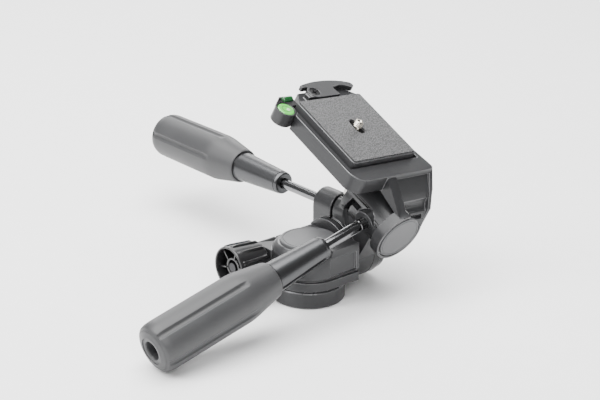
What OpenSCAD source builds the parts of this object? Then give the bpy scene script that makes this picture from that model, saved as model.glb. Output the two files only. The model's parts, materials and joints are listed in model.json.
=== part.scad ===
// Three way pan tilt head: a pan body on a round foot, a tilt block at its side,
// and a camera platform that tilts sideways on the block. Two handles and a knob lock it.
// Millimetres, +Z up, origin at the centre of the foot's underside.

/* [Pose] */
// Forward tilt of the block, front down
tilt_now = 25.6; // [0:0.1:40]
// Side tilt of the platform, right side down
side_now = 7.3; // [0:0.1:20]

/* [Foot] */
// Radius of the round foot
foot_r = 26; // [24:0.5:30]
// Height of the round foot
foot_h = 12.4; // [10:0.2:14]
// Radius of the threaded insert
insert_r = 8; // [7:0.5:9]
// Radius of the tripod thread
thread_r = 4.76; // [3.2:0.01:4.8]
// Radius of the pan spindle
spindle_r = 7; // [6:0.5:7.5]

/* [Pan body] */
// Distance of the body's flat end inside the foot's edge
body_inset = 1; // [0.5:0.1:3]
// Height of the body's flat top above the foot
body_h = 29; // [27:0.5:32]
// Radius of the flat cap
cap_r = 20.1; // [17:0.1:22]
// Height of the cap above the body's flat top
cap_rise = 2; // [1:0.1:3]
// Height of the lower flange
flange_h = 6.6; // [5:0.2:8]
// Height of the groove above the flange
groove_h = 2.4; // [1.5:0.1:3]
// Depth of the groove and the front panel
groove_d = 2; // [1:0.1:2.5]

/* [Pan lock] */
// Distance of the lock screw inside the foot's edge
lock_inset = 2; // [0:0.5:4]
// Height of the lock screw above the foot
lock_up = 14.6; // [13:0.2:16]
// Radius of the knob at its open face
knob_r = 16.6; // [14:0.2:18]
// Length of the knob
knob_len = 28; // [24:0.5:32]
// Number of flutes on the knob
knob_flutes = 12; // [8:1:16]
// Number of spokes in the knob's face
knob_spokes = 6; // [5:1:8]
// Radius of the lock screw
lock_r = 3.5; // [3:0.1:4]

/* [Tilt stage] */
// Distance of the tilt axis behind the pan axis
tilt_y = 4.9; // [3:0.1:7]
// Clearance of the tilt drum above the ground
drum_lift = 2.5; // [2:0.1:6]
// Radius of the tilt drum
drum_r = 24.1; // [22:0.1:26]
// Width of the tilt block's ring
ring_w = 19.5; // [18:0.5:22]
// Width of the dark end cap
end_cap_w = 8.6; // [7:0.2:10]
// Radius of the tilt shaft
tilt_shaft_r = 8; // [7:0.5:9]
// Width of the clamp's slit
slit_w = 2.5; // [1.5:0.1:3]

/* [Handles] */
// Drop of the rear handle below the platform's plane
rear_drop = 25.6; // [15:0.1:35]
// Drop of the front handle below the platform's plane
front_drop = 11.4; // [8:0.1:16]
// Turn of the front handle towards the front
front_skew = 5.45; // [0:0.05:8]
// Radius of the rear handle's rod
rear_rod_r = 3.7; // [3:0.1:4.2]
// Radius of the front handle's rod
front_rod_r = 4.2; // [3.5:0.1:4.6]
// Bare length of the rear rod
rear_bare = 45.6; // [35:0.1:60]
// Bare length of the front rod
front_bare = 38.5; // [30:0.1:50]
// Radius of the collar at the rod
collar_r = 8.5; // [8:0.1:10]
// Radius of the collar at the grip
collar_wide_r = 11.2; // [10:0.1:12]
// Length of the collar outside the grip
collar_len = 48.2; // [30:0.1:55]
// Largest radius of the grip
grip_r = 17.8; // [15:0.1:19]
// Length of the grip
grip_len = 101.9; // [80:0.1:120]
// Number of grooves along the grip
grip_grooves = 5; // [4:1:8]
// Radius of the hole in the grip's end
grip_hole_r = 6.6; // [5:0.1:8]

/* [Platform] */
// Distance of the side tilt axis from the tilt block's inner face
side_off = 15.7; // [15:0.1:18]
// Height of the side tilt axis above the tilt drum
side_up = 18.7; // [18:0.1:22]
// Distance of the hub's face ahead of the tilt axis
hub_front = 39; // [37:0.1:42]
// Radius of the hub's cap
hub_cap_r = 17.7; // [15:0.1:18]
// Wall of the hub round its cap
hub_wall = 2; // [1.5:0.1:3.5]
// Depth of the hub
hub_depth = 8.6; // [8:0.2:12]
// Width of the table's rim to the left of the plate
rim_left = 7.2; // [5:0.1:10]
// Width of the table's rim to the right of the plate
rim_right = 4.5; // [3:0.1:8]
// Depth of the table's skirt
skirt_h = 12.5; // [11:0.1:14]
// Distance of the table's front edge behind the hub's face
table_back = 26.6; // [25:0.1:30]
// Radius of the side shaft
side_shaft_r = 6; // [5:0.5:7]

/* [Plate] */
// Width of the quick release plate
plate_w = 63.4; // [58:0.1:66]
// Length of the quick release plate
plate_l = 68; // [62:0.1:72]
// Thickness of the plate
plate_t = 6.7; // [6:0.1:8]
// Height of the pad's top above the side tilt axis
pad_z = 39.6; // [38:0.1:42]
// Distance of the plate's front edge behind the table's front edge
plate_back = 14.7; // [12:0.1:16]
// Radius of the camera screw
screw_r = 3.175; // [3.1:0.005:3.2]

/* [Hidden] */
$fn = 96;
fit = 0.05;          // running and seating clearance of round parts
gap = 0.3;           // clearance between faces of pieces that move past each other
edge = 0.8;          // small chamfer on turned edges
eps = 0.01;

body_reach = foot_r - body_inset;
lock_y = foot_r - lock_inset;
tilt_z = drum_r + drum_lift;
body_z0 = foot_h + 0.8;
body_z1 = body_z0 + body_h;
shoulder_h = 5;
cavity_r = 13;
cavity_z = 33;
lock_z = foot_h + lock_up;
cheek_w = 4;
lug_end = foot_r - 1.5;
lug_y0 = foot_r - 14;
lug_y1 = lock_y + 6.5;
lug_h = 23;
lug_x1 = 6;
lock_slit_x = -6.4;
lock_nut_r = 6.2;
ring_x0 = foot_r + gap;
side_x = ring_x0 + side_off;
side_h = drum_r + side_up;
table_left = plate_w / 2 + rim_left;
table_right = plate_w / 2 + rim_right;
tilt_washer_r = 13;
ring_x1 = ring_x0 + ring_w;
cap_x1 = ring_x1 + 0.2 + end_cap_w;

// Rear clamp, in the tilt block's frame turned along the rear rod
end_ring_w = 5.6;
ear_x = ring_x0 + 12.2;
ear_r = 11;
rod_up = drum_r + 3.8;
ear_front = -9.7;
ear_back = 22.4;
side_washer_r = 10;
slit_y = 1.1;

// Width of the neck below the barrel, clear of the arm when the platform stands on its side
web_w = 24;
// Round grooves along the grips
groove_r = 2.3;
groove_depth = 1.4;

barrel_front = -hub_front + hub_depth + gap;
// Front clamp: where the rod's axis passes the side tilt axis, in the block's frame
// and how far above it, so that the drooping handle clears the edge of the body
front_up = body_reach * tan(front_drop) - 1.341;
front_at = [side_x, barrel_front + 14.3, side_h + front_up];
front_boss_r = 8.6;
front_boss_end = 16.7;
front_tip = 9.4;
recess_d = 6.5;
barrel_r = 15.6;

barrel_back = 9;

// Platform heights above the side tilt axis
pad_t = 1.0;
plate_z1 = pad_z - 0.8;
plate_z0 = plate_z1 - plate_t;
rim_z = pad_z - 4.1;
floor_z = plate_z0 - gap;
skirt_z = rim_z - skirt_h;
rim_w = 4;
table_y0 = -hub_front + table_back;
arm_flare = 2.6;
arm_rib = 8.4;
rib_x0 = -8.2;
rib_x1 = rib_x0 + arm_rib;
wall_w = 3.4;
arc_steps = 10;
scoop_r = 7.6;
slot_h = 2.6;

plate_y0 = table_y0 + plate_back;
plate_y1 = plate_y0 + plate_l;
plate_y = plate_y0 + plate_l / 2;
table_y1 = plate_y1 + 12.5;
hub_r = hub_cap_r + hub_wall;
lever_screw_r = 2.5;
lever_spring_h = 3.6;
slot_half = 4;
plate_foot_w = 46;
plate_foot_h = 3.6;
lever_at = [-8.4, plate_y1 + 6.9];
lever_z0 = rim_z + gap;
lever_t = 3.8;
lever_tip = 21;
finger_r = 3;
lever_boss_r = 6.1;
lever_block_l = 9.6;
level_at = [-table_left - 3.1, plate_y1 - 2.3];
level_r = 6.4;
level_wall = 1.6;
tube_at = [-table_left + 0.4, plate_y1 + 7];
tube_r = 2.4;
tube_l = 8.8;
tube_x1 = -table_left + tube_l + 2.3;
screw_up = 4.8;
neck_d = 0.5;
head_r = 8;
head_top = 1.6;

// ---- frames ----
module tilt_frame() { translate([0, tilt_y, tilt_z]) rotate([tilt_now, 0, 0]) children(); }
module side_frame() { tilt_frame() translate([side_x, 0, side_h]) rotate([0, side_now, 0]) children(); }
module rear_frame() { tilt_frame() rotate([-rear_drop, 0, 0]) translate([ear_x, 0, rod_up]) children(); }
module front_frame() {
  tilt_frame() translate(front_at) rotate([0, 0, 90 + front_skew]) rotate([-front_drop, 0, 0]) children();
}
// Cylinders that lie along +X and +Y
module along_x(r, x0, x1) { translate([x0, 0, 0]) rotate([0, 90, 0]) cylinder(r = r, h = x1 - x0); }
module along_y(r, y0, y1) { translate([0, y0, 0]) rotate([-90, 0, 0]) cylinder(r = r, h = y1 - y0); }
module turned(points) { rotate_extrude() polygon(points); }
module turned_y(points) { rotate([-90, 0, 0]) rotate_extrude() polygon(points); }
// A box with upright edges rounded to r
module soft_box(w, l, h, r) {
  linear_extrude(height = h) {
    square([w - 2 * r, l], center = true);
    square([w, l - 2 * r], center = true);
    for (sx = [-1, 1], sy = [-1, 1]) translate([sx * (w / 2 - r), sy * (l / 2 - r)]) circle(r = r);
  }
}

// ---- foot and spindle ----
module foot() color("dimgray") difference() {
  turned([[0, 0], [foot_r - edge, 0], [foot_r, edge], [foot_r, foot_h - edge],
    [foot_r - edge, foot_h], [0, foot_h]]);
  translate([0, 0, -1]) cylinder(r = insert_r + fit, h = foot_h + 2);
  translate([0, 0, -eps]) difference() {
    cylinder(r = foot_r - 5, h = 1.2);
    translate([0, 0, -1]) cylinder(r = insert_r + 4, h = 4);
  }
}
module thread_insert() color("silver") difference() {
  cylinder(r = insert_r, h = 9.6);
  translate([0, 0, -1]) cylinder(r = thread_r, h = 12);
}
module pan_spindle() color("silver") {
  translate([0, 0, 9.8]) cylinder(r = insert_r - 0.1, h = foot_h - 9.8);
  translate([0, 0, foot_h]) cylinder(r = spindle_r, h = cavity_z + 7 - foot_h);
}
module friction_washer() color("black") translate([0, 0, foot_h]) difference() {
  cylinder(r = foot_r - 1.6, h = 0.6);
  translate([0, 0, -1]) cylinder(r = insert_r + 2, h = 3);
}
module spindle_nut() color("silver") translate([0, 0, cavity_z + gap]) difference() {
  cylinder(r = 11.5, h = 5, $fn = 6);
  translate([0, 0, -1]) cylinder(r = spindle_r + fit, h = 8);
}

// ---- pan body ----
module body_outline(inset) {
  circle(r = foot_r - inset);
  translate([0, -foot_r + inset]) square([body_reach, 2 * (foot_r - inset)]);
}
// Split lug at the side of the round body, squeezed by the lock screw
module lock_lug() {
  translate([-lug_end, lug_y0, body_z0 + 1]) cube([lug_end + lug_x1, lug_y1 - lug_y0, lug_h]);
}
module pan_housing() color("dimgray") difference() {
  union() {
    translate([0, 0, body_z0]) linear_extrude(height = flange_h) body_outline(0);
    translate([0, 0, body_z0 + flange_h]) linear_extrude(height = groove_h) body_outline(groove_d);
    translate([0, 0, body_z0 + flange_h + groove_h]) {
      turned([[0, 0], [foot_r, 0], [foot_r, body_h - flange_h - groove_h - shoulder_h],
        [foot_r - 1.2, body_h - flange_h - groove_h - 2.4], [cap_r + 1.4, body_h - flange_h - groove_h],
        [0, body_h - flange_h - groove_h]]);
      translate([0, -foot_r, 0]) cube([body_reach, 2 * foot_r, body_h - flange_h - groove_h]);
    }
    lock_lug();
    // cheek that carries the tilt shaft, cut level with the flange
    intersection() {
      translate([0, tilt_y, tilt_z]) along_x(drum_r, body_reach - cheek_w, body_reach);
      translate([0, -foot_r, body_z0]) cube([body_reach, 2 * foot_r, 60]);
    }
  }
  // front and rear panels
  for (side = [-1, 1])
    translate([-2, side * (foot_r - 0.6) - 0.6 - eps, body_z0 + flange_h + groove_h])
      cube([body_reach - 1, 1.2 + 2 * eps, body_h - flange_h - groove_h - 6.4]);
  // flat end beside the tilt block
  translate([body_reach, -foot_r - 1, body_z0 - 1]) cube([10, 2 * foot_r + 2, 60]);
  // bore for the spindle and room for its nut
  translate([0, 0, body_z0 - 1]) cylinder(r = spindle_r + fit, h = 60);
  translate([0, 0, cavity_z]) cylinder(r = cavity_r, h = 30);
  // seat of the cap
  translate([0, 0, body_z1 - 1]) cylinder(r = cap_r + fit, h = 30);
  // chamfer along the rear top edge
  translate([-eps, foot_r - 4, body_z1]) rotate([-45, 0, 0]) cube([body_reach + 1, 12, 12]);
  // clamp slit from the spindle's bore through the lug, lock screw and its nut
  translate([lock_slit_x, 0, body_z0 - 1]) cube([1.4, lug_y1 + 1, lug_h + 3]);
  translate([0, lock_y, lock_z]) along_x(lock_r + fit, -40, 60);
  translate([0, lock_y, lock_z]) rotate([0, 90, 0]) cylinder(r = lock_nut_r + 0.1, h = 60, $fn = 6);
  translate([0, tilt_y, tilt_z]) along_x(tilt_shaft_r + fit, body_reach - 12, body_reach + 1);
}
module pan_cap() color("gray") translate([0, 0, body_z1 - 1]) {
  turned([[0, 0], [cap_r, 0], [cap_r, cap_rise + 0.6], [cap_r - 0.5, cap_rise + 1], [0, cap_rise + 1]]);
}
module pan_clamp_nut() color("silver") translate([0, lock_y, lock_z]) difference() {
  rotate([0, 90, 0]) cylinder(r = lock_nut_r, h = 4.5, $fn = 6);
  along_x(lock_r + fit, -1, 8);
}
module pan_knob_screw() color("silver") translate([0, lock_y, lock_z]) along_x(lock_r, -50, 5);
module pan_knob() color("dimgray") translate([-lug_end - 0.9, lock_y, lock_z])
  rotate([0, -90, 0]) difference() {
  union() {
    turned([[0, 0], [knob_r - 4, 0], [knob_r - 3.2, 1], [knob_r - 0.8, knob_len - 1.5],
      [knob_r - 1.2, knob_len],
      [0, knob_len]]);
    for (i = [0:knob_flutes - 1]) rotate([0, 0, i * 360 / knob_flutes])
      translate([knob_r - 3.6, -1.3, 3]) rotate([0, 5.4, 0]) cube([2.4, 2.6, knob_len - 4.2]);
  }
  difference() {
    translate([0, 0, 6]) cylinder(r = knob_r - 2.6, h = knob_len);
    translate([0, 0, 5]) cylinder(r = 5.6, h = knob_len - 8);
    for (i = [0:knob_spokes - 1]) rotate([0, 0, i * 360 / knob_spokes])
      translate([0, -0.7, 5]) cube([knob_r - 1, 1.4, knob_len - 7.5]);
  }
  translate([0, 0, -1]) cylinder(r = lock_r + fit, h = knob_len + 4);
}

// ---- tilt stage ----
module tilt_shaft() color("silver") translate([0, tilt_y, tilt_z])
  along_x(tilt_shaft_r, body_reach - 11.5, ring_x1 + 4.4);
module tilt_washer() color("black") translate([0, tilt_y, tilt_z]) difference() {
  along_x(tilt_washer_r, body_reach + 0.05, ring_x0 - 0.1);
  along_x(tilt_shaft_r + fit, body_reach - 1, ring_x0 + 1);
}
module ears() {
  // two ears in one block with a round top along the rod
  rotate([-rear_drop, 0, 0]) {
    translate([ear_x, 0, rod_up]) along_y(ear_r, ear_front, ear_back);
    translate([ear_x - ear_r, ear_front, 0]) cube([2 * ear_r, ear_back - ear_front, rod_up]);
  }
}
module tilt_web() {
  // solid neck that joins the drum to the side tilt barrel
  translate([side_x - 13, 0, 0]) rotate([90, 0, 90]) linear_extrude(height = web_w)
    polygon([[-drum_r + 2, 6], [-drum_r - 0.5, drum_r + 10], [-drum_r - 0.3, side_h + 7],
      [barrel_back, side_h + 7],
      [barrel_back + 5, 20], [6, 4]]);
}
module tilt_block() color("dimgray") tilt_frame() difference() {
  union() {
    along_x(drum_r, ring_x0, ring_x1);
    ears();
    translate([side_x, 0, side_h]) along_y(barrel_r, barrel_front, barrel_back);
    tilt_web();
    translate(front_at) rotate([0, 0, 90 + front_skew]) rotate([-front_drop, 0, 0])
      along_y(front_boss_r, 2, front_boss_end);
  }
  along_x(tilt_shaft_r + fit, 0, 80);
  // room for the end cap, the nut and the far side of the drum
  along_x(drum_r + 0.4, ring_x1, ring_x1 + 30);
  // room for the cheek of the pan body
  along_x(drum_r + 0.6, 0, ring_x0);
  // clamp slit, from the shaft up through the ears
  rotate([-rear_drop, 0, 0]) {
    translate([ear_x - ear_r - 5, slit_y, 0]) cube([2 * ear_r + 14, slit_w, rod_up + ear_r + 1]);
    translate([ear_x, 0, rod_up]) along_y(rear_rod_r + fit, slit_y - 3, ear_back + 1);
    translate([ear_x, 0, rod_up]) along_y(5.4, ear_front - 1, slit_y - 2);
  }
  // triangular recess round the front handle's boss
  difference() {
    translate([side_x - barrel_r - 10, 0, 0]) rotate([90, 0, 90])
      linear_extrude(height = 10 + recess_d) difference() {
      polygon([[1.5, 49.5], [-21, 49], [-21.5, 44], [-14, 29], [-3, 26], [5.2, 35.7]]);
      polygon([[-1, 45.5], [-19.5, 44], [-13.4, 27], [-5, 24], [1, 35]]);
    }
    translate(front_at) rotate([0, 0, 90 + front_skew]) rotate([-front_drop, 0, 0])
      along_y(front_boss_r + 1.5, -1, front_boss_end + 10);
  }
  // room for the side shaft's washer and screw
  translate([side_x, 0, side_h]) along_y(side_washer_r + 0.5, barrel_back, 60);
  // side shaft, front rod and its brake shoe
  translate([side_x, 0, side_h]) along_y(side_shaft_r + fit, -60, 60);
  translate(front_at) rotate([0, 0, 90 + front_skew]) rotate([-front_drop, 0, 0])
    along_y(front_rod_r + fit, 0, front_boss_end + 10);
}
module tilt_end_cap() color([0.13, 0.13, 0.13]) tilt_frame() difference() {
  translate([ring_x1 + 0.2, 0, 0]) rotate([0, 90, 0])
    turned([[0, 0], [drum_r, 0], [drum_r, end_cap_w - 1.6], [drum_r - 1.6, end_cap_w], [0, end_cap_w]]);
  along_x(15, ring_x1, ring_x1 + end_cap_w - 1.6);
}
module tilt_end_ring() color([0.5, 0.5, 0.5]) tilt_frame() difference() {
  translate([cap_x1, 0, 0]) rotate([0, 90, 0])
    turned([[0, 0], [drum_r - 1.2, 0], [drum_r - 1.2, end_ring_w - 1.4],
      [drum_r - 2.6, end_ring_w], [0, end_ring_w]]);
  along_x(drum_r - 6, cap_x1 + end_ring_w - 2, cap_x1 + end_ring_w + 1);
}
module tilt_shaft_nut() color("silver") translate([0, tilt_y, tilt_z]) difference() {
  translate([ring_x1 + 0.4, 0, 0]) rotate([0, 90, 0]) cylinder(r = 12, h = 4, $fn = 6);
  along_x(tilt_shaft_r + fit, ring_x1, ring_x1 + 10);
}
module rear_clamp_nut() color("silver") rear_frame() difference() {
  along_y(5.3, ear_front + 0.2, slit_y - 2.2);
  along_y(rear_rod_r + fit, slit_y - 10, slit_y);
}
module side_brake_shoe() color("white") difference() {
  front_frame() along_y(front_rod_r, 3, front_tip - 0.2);
  tilt_frame() translate([side_x, 0, side_h]) along_y(side_shaft_r + fit, -60, 60);
}

// ---- handles: each lies along +Y from its clamp ----
module handle_rod(r, tip, start) { along_y(r, tip, start + collar_len + 20); }
module handle_collar(r, start) difference() {
  translate([0, start, 0]) turned_y([[0, 0], [collar_r - 1, 0], [collar_r, 0.8],
    [collar_wide_r, collar_len], [collar_wide_r, collar_len + 12], [0, collar_len + 12]]);
  along_y(r + fit, start - 1, start + collar_len + 20.2);
}
module handle_grip(r, start, turn) difference() {
  translate([0, start + collar_len, 0]) turned_y([
    [0, 0], [collar_wide_r + 1.2, 0], [collar_wide_r + 1.7, 0.6], [grip_r - 0.5, 24], [grip_r, 28],
    [grip_r - 0.4, grip_len - 8], [grip_r - 1.6, grip_len - 3.4], [grip_r - 4.6, grip_len - 0.6],
    [grip_r - 7.4, grip_len], [0, grip_len]]);
  along_y(collar_wide_r + fit, start + collar_len - 1, start + collar_len + 12.2);
  along_y(r + fit, start + collar_len, start + collar_len + 20.2);
  along_y(grip_hole_r, start + collar_len + grip_len - 14, start + collar_len + grip_len + 1);
  for (i = [0:grip_grooves - 1]) rotate([0, i * 360 / grip_grooves + turn, 0])
    translate([0, start + collar_len + 26, grip_r + groove_r - groove_depth]) along_y(groove_r, 0, grip_len);
}
module rear_rod() color([0.3, 0.3, 0.32]) rear_frame()
  handle_rod(rear_rod_r, slit_y - 9, ear_back + rear_bare);
module rear_collar() color("dimgray") rear_frame() handle_collar(rear_rod_r, ear_back + rear_bare);
module rear_grip() color("gray") rear_frame() handle_grip(rear_rod_r, ear_back + rear_bare, -3);
module front_rod() color([0.3, 0.3, 0.32]) front_frame()
  handle_rod(front_rod_r, front_tip, front_boss_end + front_bare);
module front_collar() color("dimgray") front_frame()
  handle_collar(front_rod_r, front_boss_end + front_bare);
module front_grip() color("gray") front_frame()
  handle_grip(front_rod_r, front_boss_end + front_bare, -9);

// ---- platform ----
// Points of an arc round c from angle a0 to a1
function arc(c, r, a0, a1) = [for (i = [0:arc_steps]) let (a = a0 + (a1 - a0) * i / arc_steps)
  c + r * [cos(a), sin(a)]];
// Outline of the table seen from above: round at the front left, flared at the front right
module table_outline() polygon(concat(
  arc([-table_left + 11, table_y0 + 11], 11, 180, 270),
  arc([table_right + arm_flare - 3, table_y0 + 3], 3, 270, 360),
  [[table_right + arm_flare - 0.3, table_y0 + 9], [table_right, table_y0 + 24]],
  [[table_right, plate_y1 + 0.6], [table_right - 7.7, plate_y1 + 7.6], [table_right - 14, table_y1]],
  [[-20, table_y1 - 1], [tube_x1 + 0.6, plate_y1]],
  arc([-table_left + 3, plate_y1 - 3], 3, 90, 180)));
// Side view of the arm extruded from x0 to x1
module arm_side(x0, x1, points) {
  translate([x0, 0, 0]) rotate([90, 0, 90]) linear_extrude(height = x1 - x0) polygon(points);
}
// Front view of the arm extruded through its whole depth
module arm_front(points) {
  rotate([90, 0, 0]) translate([0, 0, -20]) linear_extrude(height = 80) polygon(points);
}
module arm() {
  back = -hub_front + hub_depth;
  // rib in line with the hub
  arm_side(rib_x0, rib_x1, [[table_y0 + 0.4, rim_z - 0.5], [table_y0 + 0.1, rim_z - 1.5],
    [-hub_front + 4.5, 18.6], [-hub_front, 13.6], [-hub_front, 10], [back, 10], [back, 17.6],
    [table_y0 + 6, skirt_z], [table_y0 + 14, rim_z - 0.5]]);
  // right wall and web, narrowing from the table's corner down to the hub
  difference() {
    arm_side(rib_x1 - 1, table_right + arm_flare - 0.4, [[table_y0 + 0.6, rim_z - 0.8],
      [table_y0 + 0.2, rim_z - 1.8], [table_y0 - 10.2, rim_z - 12.1], [table_y0 - 18.1, rim_z - 22],
      [-hub_front + 3.2, -2.6], [-hub_front + 2.2, -11.5], [back - 0.2, -11.5], [back - 0.2, 2],
        [back + 4.9, 8],
      [back + 10.4, 17.2], [table_y0 + 6, skirt_z + 1], [table_y0 + 14, rim_z - 0.8]]);
    arm_front([[60, rim_z - 1.6], [table_right + arm_flare - 0.3, rim_z - 1.6],
      [table_right - 0.6, rim_z - 12.1],
      [table_right - 3.6, rim_z - 22], [table_right - 8.4, 4.5], [24.4, -2.6], [hub_r - 1, -9.4], [12, -14],
      [12, -30], [60, -30]]);
  }
}
// Pocket in the arm's front between the rib and the right wall: a flat step, a round scoop and a slot
module arm_pocket() {
  arm_x1 = table_right - wall_w;
  intersection() {
    arm_front([[rib_x1, rim_z - 3.5], [arm_x1 + 2, rim_z - 3.5], [arm_x1 - 0.6, rim_z - 12.1],
      [arm_x1 - 3.6, rim_z - 22], [arm_x1 - 6.4, 7], [rib_x1, 12.4]]);
    union() {
      arm_side(rib_x1 - 5, arm_x1 + 5, [[-70, 50], [-70, -20], [-33.6, -20], [-32.2, 8], [-28.4, 13.5],
        [table_y0 - 16.2, rim_z - 22], [table_y0 - 8.4, rim_z - 12.1],
          [table_y0 + 2.4, rim_z - 1.6], [table_y0 + 2.4, 50]]);
      translate([0, table_y0 - 19.5, rim_z - 16.5]) along_x(scoop_r, rib_x1 - 5, arm_x1 + 5);
    }
  }
  translate([rib_x1 + 2.5, -60, 7.6]) cube([arm_x1 - rib_x1 - 11, 60 - hub_front + hub_depth + 1, slot_h]);
}
// Fixed corner block beside the lever's round boss, flush with the lever's top
module lever_block() difference() {
  translate([lever_at[0] - lever_block_l, plate_y1 + 0.8, rim_z - 1])
    cube([lever_block_l, 6, lever_t + gap + 1]);
  translate([lever_at[0], lever_at[1], rim_z]) cylinder(r = lever_boss_r + gap, h = 20);
}
module platform() color("dimgray") side_frame() difference() {
  union() {
    translate([0, 0, skirt_z]) linear_extrude(height = skirt_h) table_outline();
    arm();
    along_y(hub_r, -hub_front, -hub_front + hub_depth);
    lever_block();
  }
  arm_pocket();
  // hollow under the table
  translate([0, (table_y0 + plate_y1) / 2 + 5, skirt_z - 1])
    soft_box(table_right * 2 - 8, plate_y1 - table_y0 - 18, skirt_h - 6, 4);
  // seat of the plate
  translate([-table_left + rim_w, plate_y0 - 1.5, floor_z])
    cube([table_left + table_right - 2 * rim_w + 1, plate_l + 3, 30]);
  translate([0, plate_y, floor_z - plate_foot_h - gap])
    soft_box(plate_foot_w + 1, plate_l - 7, plate_foot_h + 1, 3);
  // recess of the hub cap, bore of the shaft
  along_y(hub_cap_r + 0.3, -hub_front - 1, -hub_front + 2);
  along_y(side_shaft_r + fit, -hub_front + 2, -hub_front + 40);
  // clearance round the tilt block's barrel
  along_y(barrel_r + 0.8, -hub_front + hub_depth - 0.1, 60);
  // seat of the level's housing
  translate([level_at[0], level_at[1], skirt_z - 1]) cylinder(r = level_r + level_wall + 0.1, h = 60);
  // bore of the lever's screw and pocket of its spring
  translate([lever_at[0], lever_at[1], skirt_z - 1]) cylinder(r = lever_screw_r + fit, h = 40);
  translate([lever_at[0], lever_at[1], lever_z0 - lever_spring_h - gap - 0.2]) cylinder(r = 4.7, h = 40);
}
module hub_cap() color("gray") side_frame() difference() {
  along_y(hub_cap_r, -hub_front - 0.2, -hub_front + 1.9);
  translate([0, -hub_front - 0.2, 0]) rotate([90, 0, 0]) translate([0, 0, -0.4]) difference() {
    cylinder(r = hub_cap_r - 2.2, h = 2);
    translate([0, 0, -1]) cylinder(r = hub_cap_r - 2.7, h = 4);
  }
}
module side_shaft() color("silver") side_frame() along_y(side_shaft_r, -hub_front + 2.2, barrel_back + 2.2);
module side_washer() color("silver") side_frame() difference() {
  along_y(side_washer_r, barrel_back + gap, barrel_back + gap + 1.5);
  along_y(side_shaft_r + fit, barrel_back, barrel_back + 4);
}
module side_shaft_screw() color("silver") side_frame()
  along_y(9, barrel_back + 2.4, barrel_back + 6);
module level_housing() color([0.4, 0.4, 0.4]) side_frame() difference() {
  union() {
    translate([level_at[0], level_at[1], skirt_z + 2]) cylinder(r = level_r + level_wall, h = skirt_h - 2);
    translate([-table_left + 0.1, plate_y1 + 0.1, skirt_z + 4])
      cube([tube_x1 + table_left - 0.1, 10.7, skirt_h - 4]);
  }
  translate([level_at[0], level_at[1], rim_z - 4]) cylinder(r = level_r + fit, h = 10);
  translate([tube_at[0] - 0.2, tube_at[1], rim_z]) along_x(tube_r + fit, 0, tube_l + 0.4);
}
module round_level() color([0.4, 0.8, 0.3]) side_frame()
  translate([level_at[0], level_at[1], rim_z - 4]) cylinder(r = level_r, h = 4.2);
module tube_level() color([0.2, 0.5, 0.2]) side_frame()
  translate([tube_at[0], tube_at[1], rim_z]) along_x(tube_r, 0, tube_l);
// Lever with an arched back, a round tip and a finger notch beside the plate
module lever() color([0.4, 0.4, 0.4]) side_frame() difference() {
  translate([0, 0, lever_z0]) linear_extrude(height = lever_t) difference() {
    union() {
      intersection() {
        translate([3, plate_y1 - 61.4]) circle(r = 79);
        union() {
          translate([lever_at[0], plate_y1 + 0.8]) square([lever_tip - lever_at[0], 20]);
          translate([lever_at[0] - 7.9, lever_at[1] + 5.7]) square([20, 20]);
        }
      }
      translate(lever_at) circle(r = lever_boss_r);
      // finger that ends the lever
      translate([lever_tip + 8.4, plate_y1 + 9.4]) circle(r = finger_r);
      polygon([[lever_tip - 2, plate_y1 + 9], [lever_tip - 2, plate_y1 + 15.8],
        [lever_tip + 5, plate_y1 + 14.2], [lever_tip + 9.6, plate_y1 + 12.1],
        [lever_tip + 7, plate_y1 + 6.8]]);
    }
    // hooked notch between the finger and the plate
    translate([13.4, plate_y1 + 7.6]) circle(r = 2);
    polygon([[12.6, plate_y1], [11.5, plate_y1 + 8], [15, plate_y1 + 9.7],
      [lever_tip - 1.6, plate_y1 + 10.6], [lever_tip + 3.4, plate_y1 + 9.3], [lever_tip + 8, plate_y1 + 6.3],
      [lever_tip + 12, plate_y1 + 6], [lever_tip + 12, plate_y1]]);
  }
  translate([lever_at[0], lever_at[1], lever_z0 - 1]) cylinder(r = lever_screw_r + fit, h = 10);
  translate([lever_at[0], lever_at[1], lever_z0 + lever_t - 1.2]) cylinder(r = 4.3, h = 10);
}
module lever_screw() color("silver") side_frame() translate([lever_at[0], lever_at[1], skirt_z + 2]) {
  cylinder(r = lever_screw_r, h = lever_z0 + lever_t - 0.3 - skirt_z - 2);
  translate([0, 0, lever_z0 + lever_t - 1.1 - skirt_z - 2]) cylinder(r = 4.2, h = 0.9);
}
module lever_spring() color("silver") side_frame()
  translate([lever_at[0], lever_at[1], lever_z0 - lever_spring_h - gap]) difference() {
    cylinder(r = 4.4, h = lever_spring_h);
    translate([0, 0, -1]) cylinder(r = 3.4, h = 8);
  }

// ---- plate ----
module slot_cut(r, z, h) {
  translate([0, plate_y, z]) {
    for (s = [-1, 1]) translate([0, s * slot_half, 0]) cylinder(r = r, h = h);
    translate([-r, -slot_half, 0]) cube([2 * r, 2 * slot_half, h]);
  }
}
module plate() color("dimgray") side_frame() difference() {
  union() {
    translate([0, plate_y, plate_z0]) soft_box(plate_w, plate_l, plate_t, 2.2);
    translate([0, plate_y, plate_z0 - plate_foot_h])
      soft_box(plate_foot_w, plate_l - 8, plate_foot_h + 0.1, 3);
  }
  translate([0, plate_y, plate_z1 - 0.2]) soft_box(plate_w - 2.4, plate_l - 2.4, 3, 1.4);
  slot_cut(screw_r + 0.3, plate_z0 - 10, 30);
  slot_cut(head_r + 0.6, plate_z0 - 10, 10 + head_top);
}
module plate_pad() color([0.25, 0.25, 0.25]) side_frame() difference() {
  translate([0, plate_y, plate_z1 - 0.2]) soft_box(plate_w - 2.6, plate_l - 2.6, pad_t, 1.3);
  slot_cut(screw_r + 0.6, plate_z0 - 10, 30);
}
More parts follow.
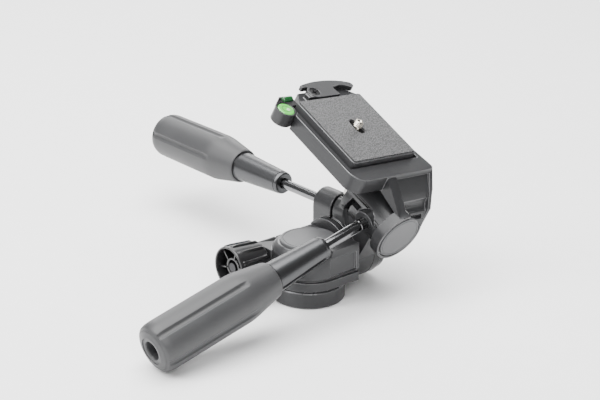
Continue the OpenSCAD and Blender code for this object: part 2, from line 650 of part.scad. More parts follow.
module camera_screw() color("silver") side_frame() translate([0, plate_y, 0]) {
  translate([0, 0, plate_z0]) cylinder(r = screw_r - neck_d, h = pad_z + gap + 1 - plate_z0);
  translate([0, 0, pad_z + gap]) cylinder(r = screw_r, h = screw_up - gap);
  translate([0, 0, plate_z0 + head_top - 2.2]) cylinder(r = head_r, h = 2);
}
module camera_screw_ring() color("silver") side_frame()
  translate([0, plate_y, plate_z0 + head_top - 3.5]) difference() {
    cylinder(r = head_r, h = 1.3);
    translate([0, 0, -1]) cylinder(r = head_r - 1.8, h = 4);
    translate([-10, -10, -1]) cube([20, 5.6, 4]);
  }

foot();
thread_insert();
pan_spindle();
friction_washer();
spindle_nut();
pan_housing();
pan_cap();
pan_clamp_nut();
tilt_shaft();
pan_knob();
pan_knob_screw();
tilt_block();
tilt_washer();
tilt_end_cap();
tilt_end_ring();
tilt_shaft_nut();
rear_clamp_nut();
side_brake_shoe();
rear_rod();
rear_collar();
rear_grip();
front_rod();
front_collar();
front_grip();
platform();
hub_cap();
side_shaft();
side_washer();
side_shaft_screw();
level_housing();
round_level();
tube_level();
lever();
lever_screw();
lever_spring();
plate();
plate_pad();
camera_screw();
camera_screw_ring();
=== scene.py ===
import bpy, bmesh, json, math
from collections import namedtuple
from mathutils import Matrix, Vector
from mathutils.bvhtree import BVHTree


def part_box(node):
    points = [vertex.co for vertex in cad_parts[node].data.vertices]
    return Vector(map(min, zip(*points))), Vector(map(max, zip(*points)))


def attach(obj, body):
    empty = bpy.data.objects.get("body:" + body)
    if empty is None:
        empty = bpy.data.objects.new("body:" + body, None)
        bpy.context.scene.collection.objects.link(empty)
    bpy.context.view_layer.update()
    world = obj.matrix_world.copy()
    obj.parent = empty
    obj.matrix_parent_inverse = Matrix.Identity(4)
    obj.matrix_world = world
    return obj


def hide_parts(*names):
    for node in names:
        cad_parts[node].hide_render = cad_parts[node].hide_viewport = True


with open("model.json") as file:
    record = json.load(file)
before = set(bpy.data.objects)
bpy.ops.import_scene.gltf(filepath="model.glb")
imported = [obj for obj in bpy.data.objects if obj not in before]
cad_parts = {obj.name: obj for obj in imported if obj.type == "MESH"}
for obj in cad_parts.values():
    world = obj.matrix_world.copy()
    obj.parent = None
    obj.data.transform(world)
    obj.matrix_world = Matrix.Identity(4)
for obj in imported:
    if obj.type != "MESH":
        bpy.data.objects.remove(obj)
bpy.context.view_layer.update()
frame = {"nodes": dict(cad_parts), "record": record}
NODES = frame["nodes"]
BODIES = frame["record"]["behaviour"]["bodies"]
BODY_OF = {node: body for body, nodes in BODIES.items() for node in nodes}
SLOT_OF = {part["node"]: part["material_slot"] for part in frame["record"]["subparts"]}
MM = 0.001
CORE = 0.2                       # mm, radius of the small face that closes a turned form on its axis
FULL_TURN = 2 * math.pi


# ---- local frames, as in the CAD source, in mm and degrees ----
def move(x, y, z):
    return Matrix.Translation(Vector((x, y, z)) * MM)


def turn(axis, degrees):
    return Matrix.Rotation(math.radians(degrees), 4, axis)


TILT_AT = (0, 4.9, 26.6)         # tilt axis, from the middle of the foot's underside
TILT_ANGLE = 25.6                # front down
SIDE_AT = (42, 0, 42.8)          # side tilt axis, in the tilt block's frame
SIDE_ANGLE = 7.3                 # right side down
REAR_AT = (38.5, 0, 27.9)        # rear handle's clamp, in the tilt block's frame turned by the drop
REAR_DROP = 25.6
FRONT_AT = (42, -15.8, 46.5)     # front handle's clamp, in the tilt block's frame
FRONT_TURN = 95.45
FRONT_DROP = 11.4
KNOB_AT = (-25.4, 24, 27)        # back of the pan knob

TILT = move(*TILT_AT) @ turn("X", TILT_ANGLE)
SIDE = TILT @ move(*SIDE_AT) @ turn("Y", SIDE_ANGLE)
REAR = TILT @ turn("X", -REAR_DROP) @ move(*REAR_AT)
FRONT = TILT @ move(*FRONT_AT) @ turn("Z", FRONT_TURN) @ turn("X", -FRONT_DROP)
KNOB = move(*KNOB_AT) @ turn("Y", -90)
UPRIGHT = turn("X", 90)          # takes local Y to local Z


# ---- materials ----
PATCHES = 60.0                   # scale of the soft noise, for patches of about 17 mm
GRAIN_DEPTH = 0.04               # mm


def clamp01(v):
    return max(0.0, min(1.0, v))


def shade(colour, factor):
    """The colour made darker or lighter, with its alpha."""
    return tuple(clamp01(c * factor) for c in colour) + (1.0,)


def new_node(tree, kind, sockets=None, operation=None):
    """A shader node with its input sockets set."""
    node = tree.nodes.new("ShaderNode" + kind)
    if operation:
        node.operation = operation
    for socket, value in (sockets or {}).items():
        node.inputs[socket].default_value = value
    return node


def material(name, colour, rough, metal=0.0, grain=900.0, bump=0.15, mottle=0.12, spread=0.08,
             stretch=(1, 1, 1), spec=0.5):
    """Grained surface: two noises make its tone, the soft one its polish and the fine one its bump."""
    m = bpy.data.materials.new(name)
    m.use_nodes = True
    tree = m.node_tree
    link = tree.links.new
    bsdf = tree.nodes["Principled BSDF"]
    bsdf.inputs["Metallic"].default_value = metal
    bsdf.inputs["Specular IOR Level"].default_value = spec
    coord = new_node(tree, "TexCoord")
    scale = new_node(tree, "Mapping", {"Scale": stretch})
    soft = new_node(tree, "TexNoise", {"Scale": PATCHES, "Detail": 4.0})
    fine = new_node(tree, "TexNoise", {"Scale": grain, "Detail": 3.0, "Roughness": 0.6})
    link(coord.outputs["Object"], scale.inputs["Vector"])
    for noise in (soft, fine):
        link(scale.outputs["Vector"], noise.inputs["Vector"])
    half_fine = new_node(tree, "Math", {1: 0.5}, "MULTIPLY")
    mean = new_node(tree, "Math", {1: 0.5}, "MULTIPLY_ADD")
    link(fine.outputs["Fac"], half_fine.inputs[0])
    link(soft.outputs["Fac"], mean.inputs[0])
    link(half_fine.outputs[0], mean.inputs[2])
    tone = new_node(tree, "ValToRGB")
    dark, light = tone.color_ramp.elements
    dark.position, light.position = 0.3, 0.7
    dark.color, light.color = shade(colour, 1 - mottle), shade(colour, 1 + mottle)
    link(mean.outputs[0], tone.inputs["Fac"])
    link(tone.outputs["Color"], bsdf.inputs["Base Color"])
    polish = new_node(tree, "MapRange", {"To Min": clamp01(rough - spread),
                                         "To Max": clamp01(rough + spread)})
    link(soft.outputs["Fac"], polish.inputs["Value"])
    link(polish.outputs["Result"], bsdf.inputs["Roughness"])
    relief = new_node(tree, "Bump", {"Strength": bump, "Distance": GRAIN_DEPTH * MM})
    link(fine.outputs["Fac"], relief.inputs["Height"])
    link(relief.outputs["Normal"], bsdf.inputs["Normal"])
    return m


def pebbled(name, colour, rough, pitch, depth):
    """Rubber moulded with small raised cells, pitch apart and depth high in mm, with painted shade between
    them and painted light on their tops.
    """
    m = material(name, colour, rough, grain=1500.0, bump=0.3, mottle=0.1, spread=0.05, spec=0.45)
    tree = m.node_tree
    link = tree.links.new
    bsdf = tree.nodes["Principled BSDF"]
    coord = new_node(tree, "TexCoord")
    cells = new_node(tree, "TexVoronoi", {"Scale": 1.0 / (pitch * MM), "Randomness": 0.8})
    link(coord.outputs["Object"], cells.inputs["Vector"])
    height = new_node(tree, "MapRange", {"From Min": 0.15, "From Max": 0.65, "To Min": 1.0, "To Max": 0.0})
    link(cells.outputs["Distance"], height.inputs["Value"])
    relief = new_node(tree, "Bump", {"Strength": 1.0, "Distance": depth * MM})
    link(height.outputs["Result"], relief.inputs["Height"])
    link(relief.outputs["Normal"], bsdf.inputs["Normal"])
    # painted shade: the colour darkens in the hollows between the cells and lightens on their raised tops
    tone = new_node(tree, "Mix")
    tone.data_type = "RGBA"
    tone.inputs["A"].default_value = shade(colour, 0.45)
    tone.inputs["B"].default_value = shade(colour, 1.3)
    link(height.outputs["Result"], tone.inputs["Factor"])
    link(tone.outputs["Result"], bsdf.inputs["Base Color"])
    return m


def liquid(name, colour):
    """The coloured liquid of a spirit level, shown as a solid colour under a glossy wall."""
    m = material(name, colour, rough=0.04, grain=200.0, bump=0.02, mottle=0.06, spread=0.02)
    bsdf = m.node_tree.nodes["Principled BSDF"]
    bsdf.inputs["IOR"].default_value = 1.45
    bsdf.inputs["Coat Weight"].default_value = 0.6
    return m


CAST = material("cast_black_paint", (0.028, 0.0283, 0.0298), rough=0.36, metal=0.25, grain=1500, bump=0.25,
                mottle=0.1, spec=0.4)
DISC = material("disc_grey_paint", (0.085, 0.086, 0.089), rough=0.5, metal=0.2, grain=1700, bump=0.25,
                mottle=0.05, spec=0.45)
STEEL = material("steel", (0.5, 0.49, 0.47), rough=0.26, metal=1.0, grain=500, bump=0.12, mottle=0.08,
                 stretch=(1, 1, 6))
SCREW_STEEL = material("warm_steel", (0.6, 0.56, 0.49), rough=0.24, metal=1.0, grain=700, bump=0.08,
                       mottle=0.06)
BLACK = material("black_fibre", (0.008, 0.008, 0.0085), rough=0.6, bump=0.5, mottle=0.3, spec=0.2)
GLOSS = material("gloss_black_plastic", (0.007, 0.007, 0.0078), rough=0.2, grain=700, bump=0.08, mottle=0.2,
                 spec=0.4)
KNOB_PLASTIC = material("knob_plastic", (0.011, 0.011, 0.0117), rough=0.3, grain=1300, bump=0.12, spec=0.6)
ROD = material("dark_chrome", (0.17, 0.171, 0.176), rough=0.22, metal=1.0, grain=300, bump=0.0, mottle=0.03,
               spread=0.02)
COLLAR = material("collar_metal", (0.07, 0.0708, 0.0735), rough=0.33, metal=0.9, grain=500, bump=0.0,
                  mottle=0.03, spread=0.02)
GRIP = material("grip_rubber", (0.04, 0.0403, 0.0418), rough=0.46, grain=1800, bump=0.35, mottle=0.07,
                spec=0.45)
CASE = material("level_case", (0.02, 0.02, 0.021), rough=0.3, grain=1200, mottle=0.08, spec=0.4)
LEVER = material("lever_paint", (0.032, 0.0322, 0.034), rough=0.38, metal=0.2, grain=1500, bump=0.3,
                 mottle=0.06, spec=0.45)
PLATE = material("plate_paint", (0.05, 0.05, 0.0522), rough=0.38, metal=0.2, grain=1500, bump=0.3,
                 mottle=0.08, spec=0.4)
PAD = pebbled("pad_rubber", (0.088, 0.088, 0.0898), rough=0.5, pitch=1.05, depth=0.16)
VIAL = liquid("level_vial_green", (0.1, 0.5, 0.08))
TUBE = liquid("level_tube_green", (0.01, 0.08, 0.02))
BUBBLE = liquid("level_bubble", (0.4, 0.6, 0.36))
RING = material("level_ring_black", (0.01, 0.01, 0.01), rough=0.4, bump=0.05)
# lighter, glossier band laid on the rounded edges: worn paint and a painted highlight
EDGE = material("cast_edge_wear_and_painted_highlight", (0.085, 0.085, 0.088), rough=0.26, metal=0.4, bump=0.1, mottle=0.25,
                spec=0.7)
BLACKENED = material("blackened_screw", (0.03, 0.03, 0.032), rough=0.3, metal=0.8, bump=0.1, mottle=0.1)
FLOOR = material("floor_white", (0.93, 0.93, 0.93), rough=0.7, grain=40.0, bump=0.0, mottle=0.01, spread=0.02)

BY_SLOT = {
    "cast_body": CAST, "cap_disc": DISC, "steel": STEEL, "washer": BLACK, "dark_plastic": GLOSS,
    "dark_knob": KNOB_PLASTIC, "rod": ROD, "collar": COLLAR, "grip": GRIP, "level_case": CASE,
    "level_vial": VIAL, "tube_vial": TUBE, "lever_metal": LEVER, "plate_metal": PLATE, "pad": PAD,
}


def dress(obj, mat):
    obj.data.materials.clear()
    obj.data.materials.append(mat)


for name, node in NODES.items():
    dress(node, BY_SLOT[SLOT_OF[name]])
dress(NODES["pan_knob_screw"], BLACKENED)


# ---- pieces that replace CAD nodes ----
def new_piece(name, bm, matrix, node, mat, sharp_angle=30.0):
    """A mesh piece made in a local frame that stands for a CAD node and moves with its body."""
    bm.transform(matrix)
    bmesh.ops.recalc_face_normals(bm, faces=bm.faces)
    me = bpy.data.meshes.new(name)
    bm.to_mesh(me)
    bm.free()
    for p in me.polygons:
        p.use_smooth = True
    me.set_sharp_from_angle(angle=math.radians(sharp_angle))
    obj = bpy.data.objects.new(name, me)
    bpy.context.scene.collection.objects.link(obj)
    dress(obj, mat)
    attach(obj, BODY_OF[node])
    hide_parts(node)
    return obj


def turned(profile, steps, radius=None):
    """A surface turned round local Y. profile holds (y, r) in mm, and radius(y, r, angle) may shape it."""
    bm = bmesh.new()
    rings = []
    for y, r in profile:
        ring = []
        for i in range(steps):
            a = FULL_TURN * i / steps
            rr = radius(y, r, a) if radius else r
            ring.append(bm.verts.new((rr * math.sin(a) * MM, y * MM, rr * math.cos(a) * MM)))
        rings.append(ring)
    for low, high in zip(rings, rings[1:]):
        for i in range(steps):
            j = (i + 1) % steps
            bm.faces.new((low[i], low[j], high[j], high[i]))
    bm.faces.new(rings[0][::-1])
    bm.faces.new(rings[-1])
    return bm


def fine_path(points, step):
    """The points with more between them, about step apart, so that the turned surface can carry grooves."""
    out = []
    for (y0, r0), (y1, r1) in zip(points, points[1:]):
        n = max(1, int(math.hypot(y1 - y0, r1 - r0) / step))
        out += [(y0 + (y1 - y0) * i / n, r0 + (r1 - r0) * i / n) for i in range(n)]
    return out + [points[-1]]


def curved_corners(points, radius, steps=4):
    """Each corner between the ends of the profile replaced by a short curve."""
    out = [points[0]]
    for a, b, c in zip(points, points[1:], points[2:]):
        a, b, c = Vector(a), Vector(b), Vector(c)
        reach = min(radius, (a - b).length * 0.45, (c - b).length * 0.45)
        p = b + (a - b).normalized() * reach
        q = b + (c - b).normalized() * reach
        for i in range(steps + 1):
            t = i / steps
            out.append(tuple((1 - t) ** 2 * p + 2 * t * (1 - t) * b + t * t * q))
    return out + [points[-1]]


# ---- handles ----
# The rod begins at tip and the collar at start, both along the handle from its clamp. spin turns the
# grip's grooves, and the collar's slot lies at the angle slot.
Handle = namedtuple("Handle", "side matrix rod_r tip start spin slot")
HANDLES = (Handle("rear", REAR, rod_r=3.7, tip=-7.9, start=68.0, spin=-3, slot=None),
           Handle("front", FRONT, rod_r=4.2, tip=9.4, start=55.2, spin=-9, slot=272))
COLLAR_LEN = 48.2
COLLAR_R = 8.6
COLLAR_FACE_R = 7.3
COLLAR_WIDE_R = 11.2
GRIP_LEN = 101.9
GRIP_R = 17.8
GRIP_BORE_R = 11.25
GRIP_FACE_R = 16                 # inside this the grip's end stays round
GRIP_HOLE_R = 6.6
GROOVES = 5
ROD_IN_GRIP = 19.9


def channel(y, r, a, at, half, depth, y0, y1, run_in, run_out):
    """How deep a groove of this half width, at the angle at and from y0 to y1, is under this point."""
    if not y0 < y < y1:
        return 0.0
    across = abs((a - math.radians(at) + math.pi) % FULL_TURN - math.pi) * r / half
    if across >= 1:
        return 0.0
    ends = clamp01((y - y0) / run_in) * clamp01((y1 - y) / run_out)
    return depth * math.sqrt(ends) * (1 - across ** 2.6)


def grip(handle):
    """Soft grip: a cone that runs into a fluted barrel with a rounded end and a hole."""
    shift = handle.start + COLLAR_LEN
    end = GRIP_LEN
    barrel = [(0.6, GRIP_BORE_R), (0, GRIP_BORE_R + 0.8), (0.2, 12.5), (1.2, 13.1), (24, GRIP_R - 0.5),
              (29, GRIP_R), (end - 7, GRIP_R - 0.2), (end - 2.8, GRIP_R - 1.5), (end - 1.6, GRIP_R - 3.4)]
    face = [(end - 1.75, 14.15), (end - 1.45, 13.95), (end - 0.2, 10.6), (end, 10.2), (end, 9.5),
            (end - 0.6, 9.3), (end - 0.6, 7.2), (end - 1.2, GRIP_HOLE_R), (end - 14, GRIP_HOLE_R)]
    path = fine_path(curved_corners(barrel, 2.6), 1.0) + fine_path(face, 1.0)

    def fluted(y, r, a):
        if r < GRIP_FACE_R:
            return r
        return r - max(channel(y - shift, r, a, at=handle.spin + 360 / GROOVES * i, half=2.3, depth=1.4,
                               y0=25.0, y1=end - 0.8, run_in=6.0, run_out=4.0) for i in range(GROOVES))

    new_piece(handle.side + "_grip_rubber", turned([(y + shift, r) for y, r in path], 360, fluted),
              handle.matrix, handle.side + "_grip", GRIP, sharp_angle=50)


def collar(handle):
    """Metal sleeve that widens from its rounded lip to a neck before the grip, and ends inside the grip."""
    bore = handle.rod_r + 0.1
    end = COLLAR_LEN
    points = [(6, bore), (0.4, bore), (0, handle.rod_r + 0.6), (0, COLLAR_FACE_R), (0.3, COLLAR_R - 0.7),
              (1.0, COLLAR_R - 0.25), (2.6, COLLAR_R), (2.9, COLLAR_R - 0.25), (3.3, COLLAR_R - 0.25),
              (3.6, COLLAR_R + 0.07), (end - 1.2, COLLAR_WIDE_R - 0.07), (end - 0.9, COLLAR_WIDE_R - 0.4),
              (end - 0.3, COLLAR_WIDE_R - 0.4), (end, COLLAR_WIDE_R), (end + 12, COLLAR_WIDE_R)]
    path = [(y + handle.start, r) for y, r in fine_path(points, 1.0)]

    def slotted(y, r, a):
        if handle.slot is None or r <= bore:
            return r
        return r - channel(y - handle.start, r, a, at=handle.slot, half=1.5, depth=1.6,
                           y0=3.8, y1=end - 1.6, run_in=1.5, run_out=1.5)

    new_piece(handle.side + "_collar_sleeve", turned(path, 240, slotted),
              handle.matrix, handle.side + "_collar", COLLAR)


def rod(handle):
    """Polished rod with chamfered ends and a turned relief where its thread begins."""
    tip = handle.tip
    r = handle.rod_r
    relief = tip + 12.5
    end = handle.start + COLLAR_LEN + ROD_IN_GRIP
    points = [(tip, CORE), (tip, r - 0.7), (tip + 0.7, r), (relief, r), (relief + 0.3, r - 0.35),
              (relief + 1.4, r - 0.35), (relief + 1.7, r), (end - 0.6, r), (end, r - 0.6), (end, CORE)]
    new_piece(handle.side + "_rod_polished", turned(points, 96),
              handle.matrix, handle.side + "_rod", ROD, sharp_angle=40)


for handle in HANDLES:
    grip(handle)
    collar(handle)
    rod(handle)


# ---- screws ----
PLATE_Y = 36.3                   # middle of the plate, along the side tilt axis
PAD_Z = 39.6                     # top of the pad, above the side tilt axis
PAD_T = 0.8
PLATE_T = 6.7
RIM_Z = 35.5                     # top of the table's rim, above the side tilt axis
SCREW_R = 3.15
SCREW_CORE_R = 2.675
SCREW_HEAD_R = 8
THREAD_PITCH = 1.27
THREAD_DEPTH = 0.5


def camera_screw():
    """Camera screw: a flat head under the plate, a neck through it and a cut thread above the pad."""
    head = PAD_Z - PAD_T - PLATE_T
    top = PAD_Z + 4.8
    points = [(head - 0.6, CORE), (head - 0.6, SCREW_HEAD_R - 0.6), (head - 0.2, SCREW_HEAD_R),
              (head + 1, SCREW_HEAD_R), (head + 1.4, SCREW_HEAD_R - 0.4), (head + 1.4, SCREW_CORE_R),
              (PAD_Z + 0.28, SCREW_CORE_R)]
    points += [(PAD_Z + 0.3 + 0.09 * i, SCREW_R) for i in range(46)]
    points += [(top - 0.3, 2.5), (top, 2.2), (top, 1.5), (top - 0.5, 1.2), (top - 0.5, CORE)]

    def threaded(y, r, a):
        if r != SCREW_R:
            return r
        return r - THREAD_DEPTH * (0.5 - 0.5 * math.cos(FULL_TURN * y / THREAD_PITCH - a))

    new_piece("camera_screw_threaded", turned(points, 64, threaded), SIDE @ move(0, PLATE_Y, 0) @ UPRIGHT,
              "camera_screw", SCREW_STEEL, sharp_angle=60)


LEVER_SCREW_AT = (-8.4, 77.2)
LEVER_SCREW_R = 2.5
LEVER_HEAD_R = 4.2
CROSS_REACH = 2.3
CROSS_HALF = 0.5
CROSS_DEPTH = 0.9


def lever_screw():
    """Screw with a flat head, whose top is fine rings of points so that a cross can be pressed in."""
    top = RIM_Z + 3.8
    low = RIM_Z - 10.5
    points = [(low, CORE), (low, LEVER_SCREW_R), (top - 1.1, LEVER_SCREW_R), (top - 1.1, LEVER_HEAD_R),
              (top - 0.35, LEVER_HEAD_R)]
    points += [(top - 0.2, LEVER_HEAD_R - 0.14 * i) for i in range(30)]
    bm = turned(points, 72)
    for v in bm.verts:
        near, far = sorted((abs(v.co.x), abs(v.co.z)))
        if v.co.y > (top - 0.25) * MM and far < CROSS_REACH * MM and near < CROSS_HALF * MM:
            v.co.y -= CROSS_DEPTH * MM
    new_piece("lever_screw_cross", bm, SIDE @ move(*LEVER_SCREW_AT, 0) @ UPRIGHT,
              "lever_screw", BLACKENED, sharp_angle=40)


camera_screw()
lever_screw()


# ---- pan knob ----
KNOB_R = 16.6
KNOB_LEN = 28.0
KNOB_FLOOR = 7.4                 # where the hollow begins, from the knob's back
KNOB_BORE_R = 4.2
KNOB_RIBS = 12
RIB_HALF = 1.25
RIB_RISE = 1.35
RIB_START = 2.2
RIB_END = KNOB_LEN - 2.6
RIB_RUN_IN = 1.6
RIB_RUN_OUT = 1.2
SPOKES = 6
SPOKE_SPIN = 12


def add_turned(bm, profile, steps):
    """A second turned form joined into the same mesh."""
    part = turned(profile, steps)
    me = bpy.data.meshes.new("part")
    part.to_mesh(me)
    part.free()
    bm.from_mesh(me)
    bpy.data.meshes.remove(me)


def add_slab(bm, x0, x1, half, y0, y1, angle):
    """A thin upright slab from radius x0 to x1, turned by angle about local Y."""
    c, s = math.cos(angle), math.sin(angle)
    verts = []
    for y in (y0, y1):
        for x, z in ((x0, -half), (x1, -half), (x1, half), (x0, half)):
            verts.append(bm.verts.new(((x * s + z * c) * MM, y * MM, (x * c - z * s) * MM)))
    for ids in ((3, 2, 1, 0), (4, 5, 6, 7), (0, 1, 5, 4), (1, 2, 6, 5), (2, 3, 7, 6), (3, 0, 4, 7)):
        bm.faces.new([verts[i] for i in ids])


def knob():
    """Hollow clamping knob: a ribbed cone with a thin lip, spokes and a deep hub."""
    lip = KNOB_LEN - 0.05
    wall = [(KNOB_FLOOR, KNOB_BORE_R), (0.3, KNOB_BORE_R), (0, KNOB_BORE_R + 0.4), (0, KNOB_R - 5),
            (0.5, KNOB_R - 4), (1.4, KNOB_R - 3.1), (3, KNOB_R - 2.9), (KNOB_LEN - 3, KNOB_R - 0.8),
            (KNOB_LEN - 1, KNOB_R - 0.5), (lip - 0.2, KNOB_R - 0.8), (lip, KNOB_R - 1.2),
            (lip, KNOB_R - 1.7), (lip - 0.5, KNOB_R - 2.1), (KNOB_FLOOR, KNOB_R - 4.6)]
    base = 7.0
    face = KNOB_LEN - 3.9
    hub = [(base, 4.0), (base, 7.2), (face - 0.4, 7.2), (face, 6.9), (face, 5.7), (face - 0.4, 5.4),
           (base + 0.8, 5.4), (base + 0.8, 4.0)]

    def inside(y, r):
        """Whether the point is on the hollow's side of the wall."""
        return r < KNOB_R - 4.3 + (y - KNOB_FLOOR) * 2.5 / (KNOB_LEN - KNOB_FLOOR - 0.5)

    def ribbed(y, r, a):
        if r < KNOB_R - 3.3 or not RIB_START <= y <= RIB_END or inside(y, r):
            return r
        pitch = FULL_TURN / KNOB_RIBS
        across = abs((a + pitch / 2) % pitch - pitch / 2) * r / RIB_HALF
        if across >= 1:
            return r
        ends = clamp01((y - RIB_START) / RIB_RUN_IN) * clamp01((RIB_END - y) / RIB_RUN_OUT)
        return min(KNOB_R, r + RIB_RISE * math.sqrt(ends) * (1 - across ** 2) ** 0.7)

    bm = turned(fine_path(wall, 0.5), 288, ribbed)
    add_turned(bm, hub, 72)
    for i in range(SPOKES):
        add_slab(bm, x0=6.8, x1=KNOB_R - 2.9, half=0.5, y0=base, y1=KNOB_LEN - 3.2,
                 angle=math.radians(SPOKE_SPIN + 360 / SPOKES * i))
    new_piece("pan_knob_ribbed", bm, KNOB @ UPRIGHT, "pan_knob", KNOB_PLASTIC, sharp_angle=35)


knob()


# ---- grey discs ----
HUB_R = 17.7
HUB_GAP = 0.9                    # between the disc and the hub's wall, a dark line
HUB_FRONT = 39.0
CAP_R = 20.1


def ringed_disc(name, node, matrix, r, y0, y1, groove_r):
    """A disc with a rounded edge and a fine concentric groove, from y0 up to y1 in local Y."""
    points = [(y0, CORE), (y0, r), (y1 - 0.35, r), (y1 - 0.12, r - 0.1), (y1, r - 0.4), (y1, groove_r + 0.35),
              (y1 - 0.28, groove_r + 0.2), (y1 - 0.28, groove_r - 0.2), (y1, groove_r - 0.35), (y1, CORE)]
    new_piece(name, turned(points, 180), matrix, node, DISC, sharp_angle=25)


ringed_disc("hub_cap_disc", "hub_cap", SIDE @ turn("Z", 180), r=HUB_R - HUB_GAP,
            y0=HUB_FRONT - 1.9, y1=HUB_FRONT + 0.2, groove_r=HUB_R - 2.4)
cap_low, cap_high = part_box("pan_cap")
ringed_disc("pan_cap_disc", "pan_cap", UPRIGHT, r=CAP_R,
            y0=cap_low[2] / MM, y1=cap_high[2] / MM, groove_r=CAP_R - 1.9)


# ---- spirit levels ----
EYE_AT = (-42.0, 68.0)
EYE_R = 6.35
EYE_ROUND = 1.1                  # how far in from the vial's side its top curves over
BUBBLE_AT = (EYE_AT[0] + 1.6, EYE_AT[1] - 1.0)
BUBBLE_R = 1.7
MARK_R = 2.9
MARK_W = 0.4
TUBE_AT = (-38.5, 77.3)
TUBE_R = 2.38
TUBE_LEN = 8.8


def round_level():
    """Bull's-eye vial with a rounded edge, its bubble and its ring mark."""
    top = RIM_Z + 0.2
    eye = SIDE @ move(*EYE_AT, 0) @ UPRIGHT
    dome = [(top - 4.2, CORE), (top - 4.2, EYE_R - 0.05), (top - 1.0, EYE_R)]
    dome += [(top - 1.0 + 0.9 * math.sin(t), EYE_R - EYE_ROUND + EYE_ROUND * math.cos(t))
             for t in (0.4, 0.8, 1.2, 1.57)]
    dome += [(top - 0.1, 3), (top - 0.1, CORE)]
    new_piece("round_level_vial", turned(dome, 96), eye, "round_level", VIAL, sharp_angle=40)
    low = top - 0.12
    bubble = [(low + 0.11 * math.sin(t), BUBBLE_R * math.cos(t)) for t in (0, 0.3, 0.7, 1.1, 1.45)]
    new_piece("round_level_bubble", turned(bubble, 48), SIDE @ move(*BUBBLE_AT, 0) @ UPRIGHT,
              "round_level", BUBBLE, sharp_angle=60)
    low = top - 0.14
    outer = MARK_R + MARK_W
    mark = [(low, MARK_R), (low, outer), (low + 0.1, outer - 0.05), (low + 0.1, MARK_R + 0.05), (low, MARK_R)]
    new_piece("round_level_mark", turned(mark, 64), eye, "round_level", RING, sharp_angle=40)


def tube_level():
    """Tube vial with rounded ends, lying left to right."""
    body = [(0, CORE), (0, TUBE_R - 0.48), (0.5, TUBE_R), (TUBE_LEN - 0.5, TUBE_R), (TUBE_LEN, TUBE_R - 0.48),
            (TUBE_LEN, CORE)]
    new_piece("tube_level_vial", turned(body, 64), SIDE @ move(*TUBE_AT, RIM_Z) @ turn("Z", -90),
              "tube_level", TUBE, sharp_angle=40)


round_level()
tube_level()


# ---- CAD shapes with rounded edges ----
# Node, width of its rounding in mm, and whether its edges carry a lighter, glossier band: worn paint and a
# painted highlight.
EDGES = (("pan_housing", 0.45, True), ("tilt_block", 0.45, True), ("platform", 0.55, True),
         ("lever", 0.2, True), ("level_housing", 0.4, False), ("plate", 0.4, True),
         ("tilt_end_cap", 0.6, False), ("tilt_end_ring", 0.5, False), ("foot", 0.4, True))
SAME_POINT = 0.002               # mm within which points are one
FLAT_ANGLE = 0.6                 # degrees below which two faces are one
EDGE_ANGLE = 35.0                # degrees above which an edge is rounded
ROOM_USED = 0.4                  # share of the room beside an edge that its rounding may take
SIDEWAYS = 0.35                  # sine of the angle above which a neighbour limits that room
FREE = 1.0                       # metres, the room where no neighbour limits it
OFF_SURFACE = 0.35               # mm off the CAD surface above which a rounded point is stray
SHARP_REACH = 4.5                # mm round a stray point in which edges stay sharp


def bevel_room(edge):
    """How far this edge can be rounded before a neighbouring edge ends, in metres."""
    along = (edge.verts[1].co - edge.verts[0].co).normalized()
    room = FREE
    for vert in edge.verts:
        for other in vert.link_edges:
            side = other.other_vert(vert).co - vert.co
            across = side.cross(along).length
            if other is not edge and across > SIDEWAYS * side.length:
                room = min(room, across)
    return room


def stray_points(obj, source):
    """Points of the rounded shape that lie off the CAD surface."""
    tree = BVHTree.FromPolygons([v.co for v in source.vertices], [p.vertices for p in source.polygons])
    made = obj.evaluated_get(bpy.context.evaluated_depsgraph_get()).to_mesh()
    return [v.co.copy() for v in made.vertices if tree.find_nearest(v.co)[3] > OFF_SURFACE * MM]


def leave_sharp(obj, points):
    """The edges near these points stay sharp."""
    weights = obj.data.attributes["bevel_weight_edge"].data
    verts = obj.data.vertices
    for edge in obj.data.edges:
        if any((verts[i].co - p).length < SHARP_REACH * MM for i in edge.vertices for p in points):
            weights[edge.index].value = 0.0


def rounded(node, width, edge_wear_and_highlight):
    """The CAD node's own shape with its sharp edges rounded, less where the next edge is near."""
    bm = bmesh.new()
    bm.from_mesh(NODES[node].data)
    bmesh.ops.remove_doubles(bm, verts=bm.verts, dist=SAME_POINT * MM)
    bmesh.ops.dissolve_limit(bm, angle_limit=math.radians(FLAT_ANGLE), verts=bm.verts, edges=bm.edges)
    weight = bm.edges.layers.float.new("bevel_weight_edge")
    for edge in bm.edges:
        if len(edge.link_faces) == 2 and edge.calc_face_angle(0.0) > math.radians(EDGE_ANGLE):
            edge[weight] = clamp01(ROOM_USED * bevel_room(edge) / (width * MM))
    obj = new_piece(node + "_body", bm, Matrix.Identity(4), node, BY_SLOT[SLOT_OF[node]])
    bevel = obj.modifiers.new("edges", "BEVEL")
    bevel.width = width * MM
    bevel.segments = 3
    bevel.limit_method = "WEIGHT"
    bevel.use_clamp_overlap = False
    bevel.harden_normals = True
    # the rounded edges get the lighter band: worn paint and a painted highlight
    if edge_wear_and_highlight:
        obj.data.materials.append(EDGE)
        bevel.material = 1
    leave_sharp(obj, stray_points(obj, NODES[node].data))


for node, width, edge_wear_and_highlight in EDGES:
    rounded(node, width, edge_wear_and_highlight)


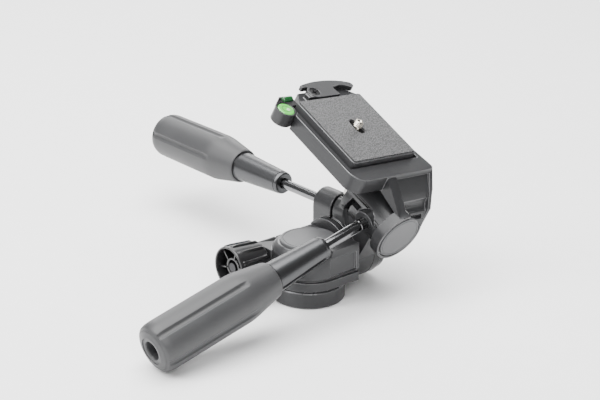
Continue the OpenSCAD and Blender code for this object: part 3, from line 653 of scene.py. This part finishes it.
# ---- floor, lights and camera, in metres, watts and degrees ----
FLOOR_HALF = 6.0
HEART = (0.02, 0.0, 0.06)        # the middle of the object, where the lights aim
WORLD_LIGHT = 0.16
SENSOR_WIDTH = 36.0
IMAGE_WIDTH = 600.0
FOCAL_PIXELS = 1640.9
CAMERA_AT = (-0.6990, -0.8107, 0.4922)
CAMERA_ANGLES = (90 - 21.4, -0.1, -40.4)      # it looks 21.4 degrees down


def lay_floor():
    bm = bmesh.new()
    bmesh.ops.create_grid(bm, x_segments=1, y_segments=1, size=FLOOR_HALF)
    me = bpy.data.meshes.new("floor")
    bm.to_mesh(me)
    bm.free()
    floor = bpy.data.objects.new("floor", me)
    bpy.context.scene.collection.objects.link(floor)
    dress(floor, FLOOR)


def area(name, place, target, size, energy):
    """A rectangular light that faces its target."""
    light = bpy.data.lights.new(name, "AREA")
    light.shape = "RECTANGLE"
    light.size, light.size_y = size
    light.energy = energy
    obj = bpy.data.objects.new(name, light)
    bpy.context.scene.collection.objects.link(obj)
    obj.location = place
    obj.rotation_euler = (Vector(target) - Vector(place)).to_track_quat("-Z", "Y").to_euler()


def light_world():
    """An even white surrounding, dim beside the lights."""
    world = bpy.data.worlds.new("studio")
    bpy.context.scene.world = world
    world.use_nodes = True
    background = world.node_tree.nodes["Background"]
    background.inputs["Color"].default_value = (1, 1, 1, 1)
    background.inputs["Strength"].default_value = WORLD_LIGHT


def place_camera():
    """The photograph's camera, as fitted to the object's outlines."""
    cam = bpy.data.cameras.new("camera")
    cam.sensor_width = SENSOR_WIDTH
    cam.lens = SENSOR_WIDTH * FOCAL_PIXELS / IMAGE_WIDTH
    obj = bpy.data.objects.new("camera", cam)
    bpy.context.scene.collection.objects.link(obj)
    obj.location = CAMERA_AT
    obj.rotation_euler = [math.radians(angle) for angle in CAMERA_ANGLES]
    bpy.context.scene.camera = obj


lay_floor()
area("top", (-0.15, 0.25, 1.9), (-0.05, 0.1, 0.0), (2.2, 2.2), 140)
area("key", (-1.6, 0.7, 1.4), HEART, (0.7, 1.6), 42)
area("back", (1.35, 1.75, 0.95), HEART, (2.4, 0.9), 42)
area("front", (-1.0, -1.5, 1.25), HEART, (1.4, 0.8), 24)
light_world()
place_camera()
